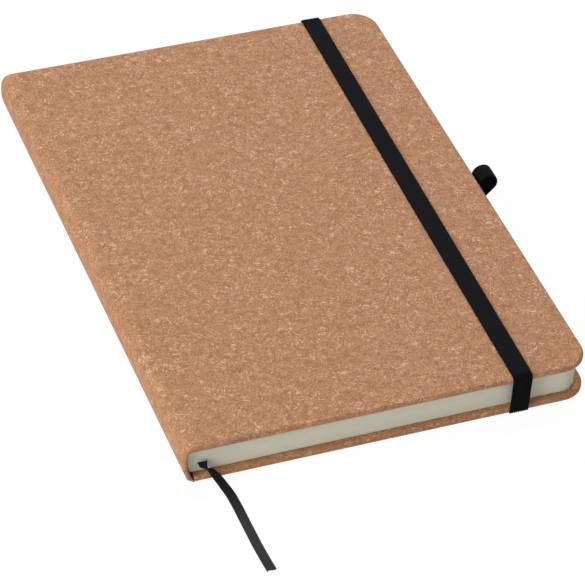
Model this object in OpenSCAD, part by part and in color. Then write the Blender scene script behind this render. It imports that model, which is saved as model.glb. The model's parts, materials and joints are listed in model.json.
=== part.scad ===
// Case-bound notebook, closed and lying on its back cover.
// +X runs from the spine to the fore-edge, +Y from the tail to the head, +Z up.
// The origin is the middle of the back cover's outer face.

/* [Book] */
// Width of the front cover, from the foot of the spine to the fore-edge
cover_w = 147; // [100:1:220]
// Height of the covers, from tail to head
cover_h = 212; // [150:1:310]
// Thickness of the closed book over both covers
book_t = 16.3; // [13:0.1:26]
// Radius of the fore-edge corners of the covers, seen from above
corner_r = 9.5; // [7:0.5:13]
// Overhang of the covers past the pages at head, tail and fore-edge
square_w = 2.5; // [1.5:0.1:4]
// How much further the back cover reaches at the fore-edge than the front cover
cover_lean = 1; // [0:0.1:1.5]
// Free space between the pages and a closed cover
leaf_gap = 0.1; // [0.05:0.05:0.3]

/* [Covers] */
// Thickness of the greyboards
board_t = 1.8; // [1.6:0.1:2.6]
// Thickness of the bonded leather sheet
sheet_t = 0.35; // [0.25:0.05:0.5]
// Rounding where the sheet wraps the long edges of a board
edge_r = 0.9; // [0.6:0.1:1.1]
// Width of the sheet that is turned in over a board
turn_in = 15; // [11:1:20]
// Thickness of the endpapers
paper_t = 0.15; // [0.1:0.05:0.25]
// Distance of the pastedown from the edges of its cover
paste_margin = 3; // [2:0.5:5]

/* [Spine] */
// Radius of the rounded spine, seen from its head
spine_r = 21; // [19:0.5:25]
// How far the rounded spine stands out past the width of the covers
spine_bulge = 2.3; // [1.8:0.1:2.8]
// How much higher than half of the book's thickness the spine stands out most
spine_rise = 1.85; // [1.2:0.05:2.4]
// Thickness of the card inside the spine
card_t = 1; // [0.6:0.1:1.3]
// Thickness of the lining glued over the backs of the pages
lining_t = 0.2; // [0.1:0.05:0.4]
// Distance of the lining from the head and the tail of the pages
lining_margin = 4; // [2:0.5:10]
// Rounding of the sheet between the spine and the front cover
joint_r_front = 4; // [3.5:0.1:4.5]
// Rounding of the sheet between the spine and the back cover
joint_r_back = 2.6; // [2.3:0.1:3.2]
// Width of the open crease between the spine and a cover
crease_w = 0.2; // [0.2:0.05:0.6]

/* [Elastic band] */
// Width of the band
band_w = 7.2; // [6:0.1:12]
// Thickness of the band
band_t = 0.8; // [0.6:0.1:0.9]
// Distance of the band's middle from the fore-edge
band_inset = 25.4; // [22:0.1:45]
// How much nearer the fore-edge the band lies at the head than at the tail
band_lean = 1.8; // [0:0.1:4]
// Distance of the slots for the band from the edge of the turned-in sheet
slot_margin = 1; // [0.5:0.5:5]
// Length of each band end that is glued to the back board
band_end = 14; // [8:1:20]
// Space between the band and what it passes over
band_gap = 0.1; // [0.05:0.05:0.2]

/* [Pen loop] */
// Width of the loop's elastic
loop_w = 7; // [5:0.5:12]
// Thickness of the loop's elastic
loop_t = 0.8; // [0.5:0.1:0.9]
// Outer radius of the round end of the loop
loop_r = 3.9; // [3.5:0.1:6]
// Distance of the loop's round end past the fore-edge, to its centre
loop_out = 4.5; // [4.3:0.1:8]
// Height of the loop's round end above the surface, to its centre
loop_up = 13.8; // [11:0.1:18]
// Distance of the loop's root from the fore-edge
loop_root_inset = 3; // [2.6:0.1:3.4]
// Thickness of each pressed leg of the loop
leg_t = 0.6; // [0.4:0.1:0.7]

/* [Ribbon marker] */
// Width of the ribbon
ribbon_w = 3.5; // [3:0.5:4]
// Thickness of the ribbon
ribbon_t = 0.3; // [0.2:0.05:0.4]
// Space round the ribbon between the pages
ribbon_gap = 0.1; // [0.05:0.05:0.3]
// Length of the ribbon that is seated between the pages
ribbon_seat = 6; // [4:1:20]

/* [Hidden] */
$fn = 64;
eps = 0.5; // how far a cut runs past the face that it opens

cover_t = board_t + 2 * sheet_t;
board_top = sheet_t + board_t;
spine_wall = card_t + 2 * sheet_t;
spine_edge_r = 0.45 * spine_wall;
card_steps = 12; // steps of each arc in the outline of the spine card
half_h = cover_h / 2;

// The pages lie between the two flyleaves.
leaf_bottom = cover_t + paper_t + leaf_gap;
pages_bottom = leaf_bottom + paper_t;
pages_top = book_t - pages_bottom;

// Fore-edges of the back cover, and of the covers' mean, which the pages follow
back_end = cover_w + cover_lean;
pages_end = cover_w + cover_lean / 2;

// The spine's outer face is an arc about this place, in X and Z. The pages' back follows it.
spine_c = [spine_r - spine_bulge, book_t / 2 + spine_rise];
pages_r = spine_r - spine_wall - lining_t - leaf_gap;

// A joint is a smaller arc that touches the spine's arc from inside, and the cover's outer face.
// Here d is the depth of the spine's centre under that face, and h the depth of a place under it.
depth_front = book_t - spine_c[1];
depth_back = spine_c[1];
function joint_turn(r, d) = asin((d - r) / (spine_r - r));
function joint_x(r, d) = spine_c[0] - (spine_r - r) * cos(joint_turn(r, d));
function arc_x(r, h, d) = spine_c[0] - sqrt(pow(r, 2) - pow(d - h, 2));
function wall_x(inset, h, r, d) =
    h < d - (spine_r - inset) * sin(joint_turn(r, d))
        ? joint_x(r, d) - sqrt(pow(r - inset, 2) - pow(r - h, 2))
        : arc_x(spine_r - inset, h, d);
turn_front = joint_turn(joint_r_front, depth_front);
turn_back = joint_turn(joint_r_back, depth_back);
joint_c_front = [joint_x(joint_r_front, depth_front), joint_r_front];
joint_c_back = [joint_x(joint_r_back, depth_back), joint_r_back];

// The covers turn about lines in the middle of the spine's wall, level with the covers' inner faces.
// A cover starts where its end clears the spine when it is folded right round.
function hinge_x(r, d) = wall_x(spine_wall / 2, cover_t, r, d);
function cover_start(r, d) =
    crease_w + max(joint_x(r, d), 2 * hinge_x(r, d) - wall_x(0, 2 * cover_t, r, d));
function to_micron(x) = round(1000 * x) / 1000;
front_x = to_micron(cover_start(joint_r_front, depth_front));
foot_x = arc_x(spine_r - spine_wall, 2 * sheet_t, depth_back);
back_x = to_micron(max(cover_start(joint_r_back, depth_back), foot_x + crease_w));

// The band turns through slots just inside the turned-in sheet.
slot_y = half_h - turn_in - slot_margin;
band_turn = asin(band_lean / cover_h);
band_fold_r = 0.2;

// The loop is a drop: a round end, and two straight sides that meet at its root.
loop_centre = [cover_w + loop_out, loop_up];
loop_root = [back_end - loop_root_inset, cover_t - 2 * leg_t];
leg_start = back_end - turn_in + 0.5;
leg_end = loop_root[0] + loop_t;
loop_steps = 18; // steps of the arc on each side of the loop's head

// Route of the ribbon's centreline: X and Y from the place where it leaves the pages, Z from the surface.
ribbon_x = 5.3;
ribbon_route = [
    [0, 0, 6.4], [0.2, -1.6, 6.3], [0.8, -3.1, 5.8], [1.7, -4.6, 4.8], [2.9, -6, 3.6],
    [4.1, -7.4, 2.5], [5.1, -8.9, 1.6], [5.9, -10.8, 0.9], [6.4, -13, 0.5], [6.7, -15.6, 0.3],
    [6.9, -19, 0.2], [7, -23, 0.2], [7, -27.5, 0.2], [6.9, -32, 0.2], [6.9, -36.5, 0.2],
    [7, -41, 0.2], [7.2, -45, 0.2], [7.5, -48.5, 0.2]
];

leather = [0.71, 0.53, 0.40];
greyboard = [0.62, 0.60, 0.56];
page_cream = [0.88, 0.86, 0.78];
endpaper_cream = [0.92, 0.90, 0.83];
elastic_black = [0.09, 0.09, 0.10];
satin_black = [0.14, 0.14, 0.15];

// Moves a piece drawn from the foot of the spine into the book's own frame.
module from_spine() {
    translate([-cover_w / 2, 0, 0]) children();
}

// Turns a piece of the back cover over to the front cover.
module to_front() {
    translate([0, 0, book_t]) mirror([0, 0, 1]) children();
}

// Extrudes a section drawn in Y and Z along X.
module along_x(length) {
    rotate([90, 0, 90]) linear_extrude(length) children();
}

// Extrudes a section drawn in X and Z along Y, centred on the origin.
module along_y(length) {
    rotate([90, 0, 0]) linear_extrude(length, center = true) children();
}

// Ring about the spine's centre, in X and Z
module spine_ring(inner, outer) {
    translate(spine_c) difference() {
        circle(outer);
        circle(inner);
    }
}

// Quarter of a ring about the origin, in the quadrant that the two signs name.
module quarter_ring(inner, outer, side_x, side_y) {
    intersection() {
        difference() {
            circle(outer);
            circle(inner);
        }
        translate([side_x < 0 ? -outer : 0, side_y < 0 ? -outer : 0]) square(outer);
    }
}

// Rectangle with its lower left corner at the origin and all its corners rounded.
module rounded_plate(w, h, r) {
    translate([r, 0]) square([w - 2 * r, h]);
    translate([0, r]) square([w, h - 2 * r]);
    for (x = [r, w - r], y = [r, h - r]) translate([x, y]) circle(r);
}

// Half section of a wrapped edge, with its rounded side at x = w.
module wrapped_edge(w) {
    square([w - edge_r, cover_t]);
    translate([0, edge_r]) square([w, cover_t - 2 * edge_r]);
    for (y = [edge_r, cover_t - edge_r]) translate([w - edge_r, y]) circle(edge_r);
}

// Plan of a leaf or board: square at the spine, with rounded fore-edge corners.
// edge_x is the cover's fore-edge, and margin the distance from the edges of the cover.
module leaf_plan(x_start, edge_x, margin) {
    r = max(corner_r - margin, 0.5);
    x_end = edge_x - margin;
    y_end = half_h - margin;
    translate([x_start, -y_end]) square([x_end - r - x_start, 2 * y_end]);
    translate([x_start, -y_end + r]) square([x_end - x_start, 2 * (y_end - r)]);
    for (side = [-1, 1]) translate([x_end - r, side * (y_end - r)]) circle(r);
}

// Outside of a wrapped cover, with its edges rounded all round the two corners.
module wrapped_form(x_start, edge_x) {
    x_corner = edge_x - corner_r;
    y_corner = half_h - corner_r;
    translate([x_start, -half_h, 0])
        along_x(x_corner - x_start) rounded_plate(cover_h, cover_t, edge_r);
    translate([x_corner, 0, 0]) along_y(2 * y_corner) wrapped_edge(corner_r);
    for (side = [0, 1])
        mirror([0, side, 0])
            translate([x_corner, y_corner, 0])
                rotate_extrude(angle = 90) wrapped_edge(corner_r);
}

// Board inside a wrapped cover.
module board_form(x_start, edge_x) {
    translate([0, 0, sheet_t]) linear_extrude(board_t) leaf_plan(x_start, edge_x, sheet_t);
}

// What the turned-in sheet leaves open on the inside of a cover.
module turn_in_window(x_start, edge_x, margin, z_start, z_end) {
    y_end = half_h - turn_in - margin;
    translate([x_start - eps, -y_end, z_start])
        cube([edge_x - turn_in - margin - x_start + eps, 2 * y_end, z_end - z_start]);
}

// Sheet wrapped round a board and turned in over it on three sides.
module wrapped_sheet(x_start, edge_x) {
    difference() {
        wrapped_form(x_start, edge_x);
        board_form(x_start - eps, edge_x);
        turn_in_window(x_start, edge_x, 0, board_top - eps, cover_t + eps);
    }
}

// Endpaper pasted over the turned-in sheet, and pressed down on the bare board inside it.
module pastedown_form(x_start, edge_x) {
    difference() {
        union() {
            translate([0, 0, cover_t]) linear_extrude(paper_t) leaf_plan(x_start, edge_x, paste_margin);
            intersection() {
                turn_in_window(x_start, edge_x, 0, board_top, cover_t + paper_t);
                translate([x_start, -half_h, 0]) cube([edge_x, cover_h, book_t]);
            }
        }
        turn_in_window(x_start, edge_x, paper_t, board_top + paper_t, cover_t + paper_t + eps);
    }
}

// Puts a piece drawn round the plane x = 0 where the band crosses the book.
module at_band() {
    translate([cover_w - band_inset, 0, 0]) rotate([0, 0, -band_turn]) children();
}

// Cuts for the band at head and tail: the run under the cover, the slot and the bed of the glued end.
module band_cuts(side_gap, depth_gap) {
    w = band_w + 2 * side_gap;
    at_band() for (side = [0, 1]) mirror([0, side, 0]) {
        translate([-w / 2, slot_y, -eps]) cube([w, half_h - slot_y + eps, eps + band_t + depth_gap]);
        translate([-w / 2, slot_y - band_gap, -eps]) cube([w, band_t + 2 * band_gap, board_top + 2 * eps]);
    }
}

// Beds pressed into the inside of the back board for the band's two glued ends.
module band_end_beds() {
    w = band_w + 2 * band_gap;
    at_band() for (side = [0, 1]) mirror([0, side, 0])
        translate([-w / 2, slot_y - band_end, board_top - band_t]) cube([w, band_end, band_t + eps]);
}

// Bed for the two legs of the pen loop, pressed into the inside of the back cover.
module loop_bed() {
    w = loop_w + 2 * band_gap;
    translate([leg_start, -w / 2, cover_t - 2 * leg_t])
        cube([leg_end + loop_t / 2 - leg_start, w, 2 * leg_t + eps]);
}

module text_block() {
    tail = -(half_h - square_w);
    slot_w = ribbon_w + 2 * ribbon_gap;
    slot_t = ribbon_t + 2 * ribbon_gap;
    color(page_cream) from_spine() difference() {
        intersection() {
            translate([0, 0, pages_bottom])
                linear_extrude(pages_top - pages_bottom) leaf_plan(-spine_bulge, pages_end, square_w);
            along_y(cover_h) {
                translate(spine_c) circle(pages_r);
                translate([spine_c[0], 0]) square([cover_w, book_t]);
            }
        }
        translate([ribbon_x - slot_w / 2, tail - eps, ribbon_route[0][2] - slot_t / 2])
            cube([slot_w, ribbon_seat + 2 * eps, slot_t]);
    }
}

// Lining on the pages' rounded back, up to the front joint.
module spine_lining() {
    y_end = half_h - square_w - lining_margin;
    lining_top = spine_c[1] + pages_r * sin(turn_front);
    color(greyboard) from_spine() along_y(2 * y_end) intersection() {
        spine_ring(pages_r, pages_r + lining_t);
        translate([-spine_bulge, pages_bottom]) square([spine_c[0], lining_top - pages_bottom]);
    }
}

module flyleaf(depth) {
    translate([0, 0, leaf_bottom])
        linear_extrude(paper_t) leaf_plan(arc_x(pages_r, pages_bottom, depth), pages_end, square_w);
}

module back_flyleaf() {
    color(endpaper_cream) from_spine() flyleaf(depth_back);
}

module front_flyleaf() {
    color(endpaper_cream) from_spine() to_front() flyleaf(depth_front);
}

// Plan of the card inside the spine: X is the depth under the spine's outer face.
module card_plan() {
    translate([sheet_t, -(half_h - sheet_t)]) square([card_t, cover_h - 2 * sheet_t]);
}

// Plan of the spine's wall: the sheet over the card, turned in at head and tail.
module wall_plan() {
    difference() {
        translate([0, -half_h]) rounded_plate(spine_wall, cover_h, spine_edge_r);
        card_plan();
        translate([sheet_t + card_t / 2, -(half_h - turn_in)])
            square([spine_wall, cover_h - 2 * turn_in]);
    }
}

// Carries a plan of the wall along an arc about the origin, from -X downwards.
module along_arc(r, turn) {
    rotate([90, 0, 0]) rotate([0, 0, 180])
        rotate_extrude(angle = turn) translate([r, 0]) mirror([1, 0]) children();
}

// Puts a piece at the spine's centre, turned so that -X points to where the front joint begins.
module at_spine() {
    translate([spine_c[0], 0, spine_c[1]]) rotate([0, turn_front, 0]) children();
}

// Carries a plan of the wall along a joint's arc and straight on to the cover.
module joint_wall(joint_c, turn, x_end) {
    translate([joint_c[0], 0, joint_c[1]]) mirror([1, 0, -1]) along_arc(joint_c[1], 90 - turn) children();
    translate([joint_c[0], 0, 0]) along_x(x_end - joint_c[0]) mirror([1, -1]) children();
}

// Space inside the sheet at the back joint, in X and Z.
module back_joint_space() {
    translate(joint_c_back) circle(joint_r_back - sheet_t);
    translate([joint_c_back[0], sheet_t]) square([back_x - joint_c_back[0], joint_r_back]);
}

// Sheet over the ends of the card's foot
module foot_end() {
    intersection() {
        spine_ring(spine_r - sheet_t - card_t, spine_r - sheet_t);
        back_joint_space();
    }
}

// Turned-in sheet at the back cover: down the inside of the card and across the crease.
module turned_foot() {
    inside = spine_r - spine_wall;
    bend_x = arc_x(inside + sheet_t, sheet_t, depth_back);
    intersection() {
        union() {
            spine_ring(inside, inside + sheet_t);
            translate([bend_x, sheet_t]) square([back_x - bend_x, sheet_t]);
        }
        back_joint_space();
    }
}

// Points of an arc after its first.
function arc_points(centre, r, from, to) = [for (k = [1 : card_steps])
    let (a = from + (to - from) * k / card_steps)
    centre + r * [cos(a), sin(a)]];

// Card of the spine in X and Z, formed round the corner to the front cover, with its foot cut to the
// rounded sheet at the back cover. The two circles about the foot cross at foot_turn.
module card_section() {
    outside = spine_r - sheet_t;
    inside = outside - card_t;
    foot_r = joint_r_back - sheet_t;
    reach = spine_r - joint_r_back;
    front_c = [joint_c_front[0], book_t - joint_r_front];
    foot_turn = acos((pow(inside, 2) - pow(reach, 2) - pow(foot_r, 2)) / (2 * reach * foot_r));
    tip = joint_c_back - foot_r * [cos(turn_back + foot_turn), sin(turn_back + foot_turn)];
    tip_turn = 360 + atan2(tip[1] - spine_c[1], tip[0] - spine_c[0]);
    inside_r = inside / cos((tip_turn - 180 + turn_front) / (2 * card_steps));
    polygon(concat(
        [front_c + [0, joint_r_front - sheet_t]],
        arc_points(front_c, joint_r_front - sheet_t, 90, 180 - turn_front),
        arc_points(spine_c, outside, 180 - turn_front, 180 + turn_back),
        arc_points(joint_c_back, foot_r, 180 + turn_back, 180 + turn_back + foot_turn),
        arc_points(spine_c, inside_r, tip_turn, 180 - turn_front),
        [front_c + (joint_r_front - sheet_t - card_t) * [-cos(turn_front), sin(turn_front)]],
        arc_points(front_c, joint_r_front - sheet_t - card_t, 180 - turn_front, 90)
    ));
}

module spine_card() {
    color(greyboard) from_spine() along_y(cover_h - 2 * sheet_t) card_section();
}

module spine_covering() {
    color(leather) from_spine() at_spine() along_arc(spine_r, turn_front + turn_back) wall_plan();
}

module front_joint_covering() {
    color(leather) from_spine() to_front() joint_wall(joint_c_front, turn_front, front_x) wall_plan();
}

// Plan of all that the back joint may fill, with its ends rounded as the wall's are.
module back_joint_plan() {
    translate([0, -half_h]) rounded_plate(joint_r_back - sheet_t, cover_h, spine_edge_r);
}

module back_joint_covering() {
    color(leather) from_spine() intersection() {
        joint_wall(joint_c_back, turn_back, back_x) back_joint_plan();
        union() {
            along_y(cover_h) difference() {
                translate([-spine_bulge, 0]) square([back_x + spine_bulge, joint_r_back]);
                back_joint_space();
            }
            for (side = [0, 1]) mirror([0, side, 0]) {
                translate([0, half_h - turn_in / 2, 0]) along_y(turn_in) turned_foot();
                translate([0, half_h - sheet_t / 2, 0]) along_y(sheet_t) foot_end();
            }
        }
    }
}

module front_board() {
    color(greyboard) from_spine() to_front() board_form(front_x, cover_w);
}

module front_covering() {
    color(leather) from_spine() to_front() wrapped_sheet(front_x, cover_w);
}

module front_pastedown() {
    color(endpaper_cream) from_spine() to_front() pastedown_form(front_x, cover_w);
}

module back_board() {
    color(greyboard) from_spine() difference() {
        board_form(back_x, back_end);
        band_cuts(band_gap + sheet_t, band_gap + sheet_t);
        band_end_beds();
        loop_bed();
    }
}

module back_covering() {
    color(leather) from_spine() difference() {
        wrapped_form(back_x, back_end);
        difference() {
            board_form(back_x - eps, back_end);
            band_cuts(band_gap + sheet_t, band_gap + sheet_t);
        }
        band_cuts(band_gap, band_gap);
        turn_in_window(back_x, back_end, 0, board_top - eps, cover_t + eps);
        loop_bed();
    }
}

module back_pastedown() {
    color(endpaper_cream) from_spine() pastedown_form(back_x, back_end);
}

// Half of the band's path in Y and Z: over the front cover, down past the tail, under the back
// cover, up through its slot and flat on to the board.
module band_half() {
    outside = half_h + band_gap;
    top = book_t + band_gap;
    square_top = half_h - edge_r;
    translate([-square_top, top]) square([square_top, band_t]);
    translate([-square_top, book_t - edge_r])
        quarter_ring(edge_r + band_gap, edge_r + band_gap + band_t, -1, 1);
    translate([-outside - band_t, band_t + band_fold_r])
        square([band_t, book_t - edge_r - band_t - band_fold_r]);
    translate([-outside + band_fold_r, band_t + band_fold_r])
        quarter_ring(band_fold_r, band_fold_r + band_t, -1, -1);
    translate([-outside + band_fold_r, 0]) square([outside - band_fold_r - slot_y, band_t]);
    translate([-slot_y - band_t, 0]) square([band_t, board_top]);
    translate([-slot_y - band_t, board_top - band_t]) square([band_end, band_t]);
}

module elastic_band() {
    color(elastic_black) from_spine() at_band()
        translate([-band_w / 2, 0, 0]) along_x(band_w) {
            band_half();
            mirror([1, 0]) band_half();
        }
}

// Drop shape about the loop's centre: an arc of radius r, closed by the two tangents that meet at its tip.
module loop_drop(r) {
    away = loop_root - loop_centre;
    heading = atan2(-away[1], -away[0]);
    half_arc = 90 + asin(loop_r / norm(away));
    tip = loop_centre + away * (r / loop_r);
    arc = [for (k = [-loop_steps : loop_steps])
        let (a = heading + half_arc * k / loop_steps)
        loop_centre + r * [cos(a), sin(a)]];
    polygon(concat([tip], arc));
}

module pen_loop() {
    color(elastic_black) from_spine() along_y(loop_w) {
        difference() {
            loop_drop(loop_r);
            loop_drop(loop_r - loop_t);
        }
        translate([leg_start, cover_t - 2 * leg_t]) square([leg_end - leg_start, 2 * leg_t]);
    }
}

// One ring of the ribbon about route point i: a flat octagon across the way it runs.
function ribbon_ring(points, i) =
    let (
        before = points[max(i - 1, 0)],
        after = points[min(i + 1, len(points) - 1)],
        way = (after - before) / norm(after - before),
        across = cross(way, [0, 0, 1]) / norm(cross(way, [0, 0, 1])),
        up = cross(across, way)
    )
    [for (k = [0 : 7])
        let (a = 22.5 + 45 * k)
        points[i] + (across * ribbon_w * cos(a) + up * ribbon_t * sin(a)) / (2 * cos(22.5))];

// Tube through a list of rings that have the same number of points.
module tube(rings) {
    n = len(rings[0]);
    last = len(rings) - 1;
    polyhedron(
        points = [for (ring = rings) each ring],
        faces = concat(
            [[for (k = [0 : n - 1]) k]],
            [for (i = [0 : last - 1], k = [0 : n - 1])
                [i * n + k, (i + 1) * n + k, (i + 1) * n + (k + 1) % n, i * n + (k + 1) % n]],
            [[for (k = [n - 1 : -1 : 0]) last * n + k]]
        )
    );
}

module ribbon_marker() {
    start = [ribbon_x, -(half_h - square_w), 0];
    seat = [[0, ribbon_seat, 0], [0, ribbon_seat / 2, 0]];
    route = concat(
        [for (back = seat) start + back + [0, 0, ribbon_route[0][2]]],
        [for (point = ribbon_route) start + point]
    );
    color(satin_black) from_spine()
        tube([for (i = [0 : len(route) - 1]) ribbon_ring(route, i)]);
}

text_block();
spine_lining();
front_flyleaf();
back_flyleaf();
spine_card();
spine_covering();
front_joint_covering();
back_joint_covering();
front_board();
front_covering();
front_pastedown();
back_board();
back_covering();
back_pastedown();
elastic_band();
pen_loop();
ribbon_marker();
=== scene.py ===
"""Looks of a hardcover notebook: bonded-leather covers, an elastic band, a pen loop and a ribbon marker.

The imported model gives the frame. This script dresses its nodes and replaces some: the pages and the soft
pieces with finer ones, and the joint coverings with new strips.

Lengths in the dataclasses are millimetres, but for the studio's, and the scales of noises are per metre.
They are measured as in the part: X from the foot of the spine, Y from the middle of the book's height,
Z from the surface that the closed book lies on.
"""

from __future__ import annotations

import json
import logging
import math
from dataclasses import dataclass, field
from enum import Enum
from functools import reduce
from typing import Iterable, Sequence

import bpy
import numpy as np
from mathutils import Euler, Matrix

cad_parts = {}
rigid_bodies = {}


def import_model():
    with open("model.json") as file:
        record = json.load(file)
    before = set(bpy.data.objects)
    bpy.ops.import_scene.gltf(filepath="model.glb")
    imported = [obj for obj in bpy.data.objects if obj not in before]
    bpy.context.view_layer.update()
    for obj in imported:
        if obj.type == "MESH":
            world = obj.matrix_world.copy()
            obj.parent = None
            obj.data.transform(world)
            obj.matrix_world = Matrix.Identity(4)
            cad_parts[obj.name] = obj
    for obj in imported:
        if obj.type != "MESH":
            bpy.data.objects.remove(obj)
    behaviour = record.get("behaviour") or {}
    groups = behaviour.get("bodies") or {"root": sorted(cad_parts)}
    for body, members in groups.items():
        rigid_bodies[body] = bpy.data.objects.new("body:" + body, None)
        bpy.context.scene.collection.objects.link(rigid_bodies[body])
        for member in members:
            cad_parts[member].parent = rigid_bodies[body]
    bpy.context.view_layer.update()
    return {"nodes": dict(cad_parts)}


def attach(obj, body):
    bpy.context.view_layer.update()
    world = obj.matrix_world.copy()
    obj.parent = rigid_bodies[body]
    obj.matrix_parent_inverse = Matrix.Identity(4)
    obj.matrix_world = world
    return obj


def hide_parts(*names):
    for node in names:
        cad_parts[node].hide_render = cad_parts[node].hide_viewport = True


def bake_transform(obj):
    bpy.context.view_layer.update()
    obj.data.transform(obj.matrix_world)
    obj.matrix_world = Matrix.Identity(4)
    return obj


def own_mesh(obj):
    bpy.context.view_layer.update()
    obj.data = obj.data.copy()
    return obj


LOG = logging.getLogger("notebook")
MM = 0.001
SHARP_FROM = math.radians(40)
STRAIGHT_UNDER = 1e-4
ARC_POINTS = 21
WHITE = (1.0, 1.0, 1.0, 1.0)
Array = np.ndarray
Colour = tuple[float, float, float, float]
Socket = bpy.types.NodeSocket
Shade = bpy.types.NodeSocket | float | Colour


def srgb(red: int, green: int, blue: int) -> Colour:
    """Turns a screen colour of 0 to 255 a channel into the linear colour that shaders take.

    Args:
        red: Red channel.
        green: Green channel.
        blue: Blue channel.

    Returns:
        The linear colour with full alpha.
    """
    share = np.array([red, green, blue]) / 255
    linear = np.where(share <= 0.04045, share / 12.92, ((share + 0.055) / 1.055) ** 2.4)
    return (*linear.tolist(), 1.0)


# Sizes


@dataclass(frozen=True)
class BookSizes:
    """Sizes of the book that more than one piece needs, as they stand in the part."""

    cover_w: float = 147.0
    cover_lean: float = 1.0
    cover_h: float = 212.0
    book_t: float = 16.3
    cover_t: float = 2.5
    corner_r: float = 9.5
    square_w: float = 2.5
    sheet_t: float = 0.35
    edge_r: float = 0.9
    board_top: float = 2.15
    paper_t: float = 0.15
    paste_margin: float = 3.0
    pages_bottom: float = 2.9
    pages_top: float = 13.4
    pages_r: float = 19.0
    card_t: float = 1.0
    spine_wall: float = 1.7
    spine_edge_r: float = 0.765
    spine_r: float = 21.0
    spine_centre: tuple[float, float] = (18.7, 10.0)
    ribbon_w: float = 3.5

    @property
    def half_h(self) -> float:
        """Half of the covers' height."""
        return self.cover_h / 2

    def back_of_pages(self, heights: Array) -> Array:
        """Gives the X of the pages' rounded back: the centre's less the root of r squared less h squared."""
        x, z = self.spine_centre
        return x - np.sqrt(self.pages_r**2 - (heights - z) ** 2)

    def in_frame(self, points: Array) -> Array:
        """Moves points from the foot of the spine into the model's frame, in metres.

        Args:
            points: Points in millimetres, with X, Y and Z in the last axis.

        Returns:
            The same points in the frame, in metres.
        """
        return (points - np.array([self.cover_w / 2, 0.0, 0.0])) * MM


BOOK = BookSizes()


class Body(str, Enum):
    """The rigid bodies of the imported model."""

    BLOCK = "book_block"
    FRONT = "front_cover"
    BACK = "back_cover"


class Slot(str, Enum):
    """The record's material slots."""

    LEATHER = "cover_leather"
    GREYBOARD = "greyboard"
    PAGES = "pages"
    ENDPAPER = "endpaper"
    ELASTIC = "elastic"
    RIBBON = "ribbon"


# Mesh tools


def tube_quads(rings: int, around: int) -> Array:
    """Lists the four corners of each cell between the rings of a tube.

    Cell (i, j) joins (i, j), (i + 1, j), (i + 1, j + 1) and (i, j + 1), where j + 1 wraps round the ring.

    Args:
        rings: Number of rings.
        around: Number of vertices in a ring.

    Returns:
        An array of shape (cells, 4) with vertex numbers.
    """
    i, j = np.meshgrid(np.arange(rings - 1), np.arange(around), indexing="ij")
    following = (j + 1) % around
    cell = [i * around + j, (i + 1) * around + j, (i + 1) * around + following, i * around + following]
    return np.stack(cell, axis=-1).reshape(-1, 4)


def add_attribute(mesh: bpy.types.Mesh, name: str, kind: str, field_name: str, values: Array) -> None:
    """Stores one value for each vertex.

    Args:
        mesh: Mesh that gets the attribute.
        name: Name of the attribute.
        kind: Blender's name of its data type.
        field_name: Blender's name of the value in each element.
        values: The values, in the order of the vertices.
    """
    data = mesh.attributes.new(name, kind, "POINT").data
    data.foreach_set(field_name, values.astype(np.float32).ravel())


def make_piece(
    name: str, rings: Array, weave: Array | None = None, tone: Array | None = None,
) -> bpy.types.Object:
    """Makes a closed tube mesh from rings of vertices, with a flat face over the first and the last ring.

    Args:
        name: Name of the new object.
        rings: Vertices of shape (rings, points in a ring, 3), in metres in the model's frame.
        weave: Distances across and along the cloth at each vertex, of shape (rings, points, 2), in metres.
        tone: A shade from 0 to 1 at each vertex, of shape (rings, points).

    Returns:
        The new object, linked to the scene.
    """
    count, around = rings.shape[:2]
    faces = tube_quads(count, around).tolist()
    faces.append(list(range(around)))
    faces.append(list(range(count * around - 1, (count - 1) * around - 1, -1)))
    mesh = bpy.data.meshes.new(name)
    mesh.from_pydata(rings.reshape(-1, 3).tolist(), [], faces)
    if weave is not None:
        flat = np.concatenate([weave, np.zeros(weave.shape[:2] + (1,))], axis=-1)
        add_attribute(mesh, "weave", "FLOAT_VECTOR", "vector", flat)
    if tone is not None:
        add_attribute(mesh, "tone", "FLOAT", "value", tone)
    mesh.update()
    point_faces_outwards(mesh)
    mesh.polygons.foreach_set("use_smooth", [True] * len(mesh.polygons))
    mesh.polygons[len(faces) - 2].use_smooth = False
    mesh.polygons[len(faces) - 1].use_smooth = False
    mesh.set_sharp_from_angle(angle=SHARP_FROM)
    piece = bpy.data.objects.new(name, mesh)
    bpy.context.scene.collection.objects.link(piece)
    return piece


def point_faces_outwards(mesh: bpy.types.Mesh) -> None:
    """Flips every face of a closed mesh if its signed volume says that they point inwards.

    The volume is the sum over triangles of a dot (b cross c) / 6.

    Args:
        mesh: A closed mesh with consistent faces.
    """
    mesh.calc_loop_triangles()
    corners = np.zeros(len(mesh.loop_triangles) * 3, np.int32)
    mesh.loop_triangles.foreach_get("vertices", corners)
    places = np.zeros(len(mesh.vertices) * 3, np.float32)
    mesh.vertices.foreach_get("co", places)
    a, b, c = np.moveaxis(places.reshape(-1, 3).astype(float)[corners.reshape(-1, 3)], 1, 0)
    if np.einsum("ij,ij->i", a, np.cross(b, c)).sum() < 0:
        mesh.flip_normals()


def length_along(path: Array) -> Array:
    """Gives the distance walked along a path at each of its points."""
    steps = np.linalg.norm(np.diff(path, axis=0), axis=1)
    return np.concatenate([[0.0], np.cumsum(steps)])


def resample(path: Array, stations: Array) -> Array:
    """Finds the points of a path at given distances along it, by straight interpolation.

    Args:
        path: Points of shape (n, dimensions).
        stations: Distances along the path.

    Returns:
        Points of shape (stations, dimensions).
    """
    walked = length_along(path)
    return np.stack([np.interp(stations, walked, path[:, k]) for k in range(path.shape[1])], axis=-1)


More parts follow.
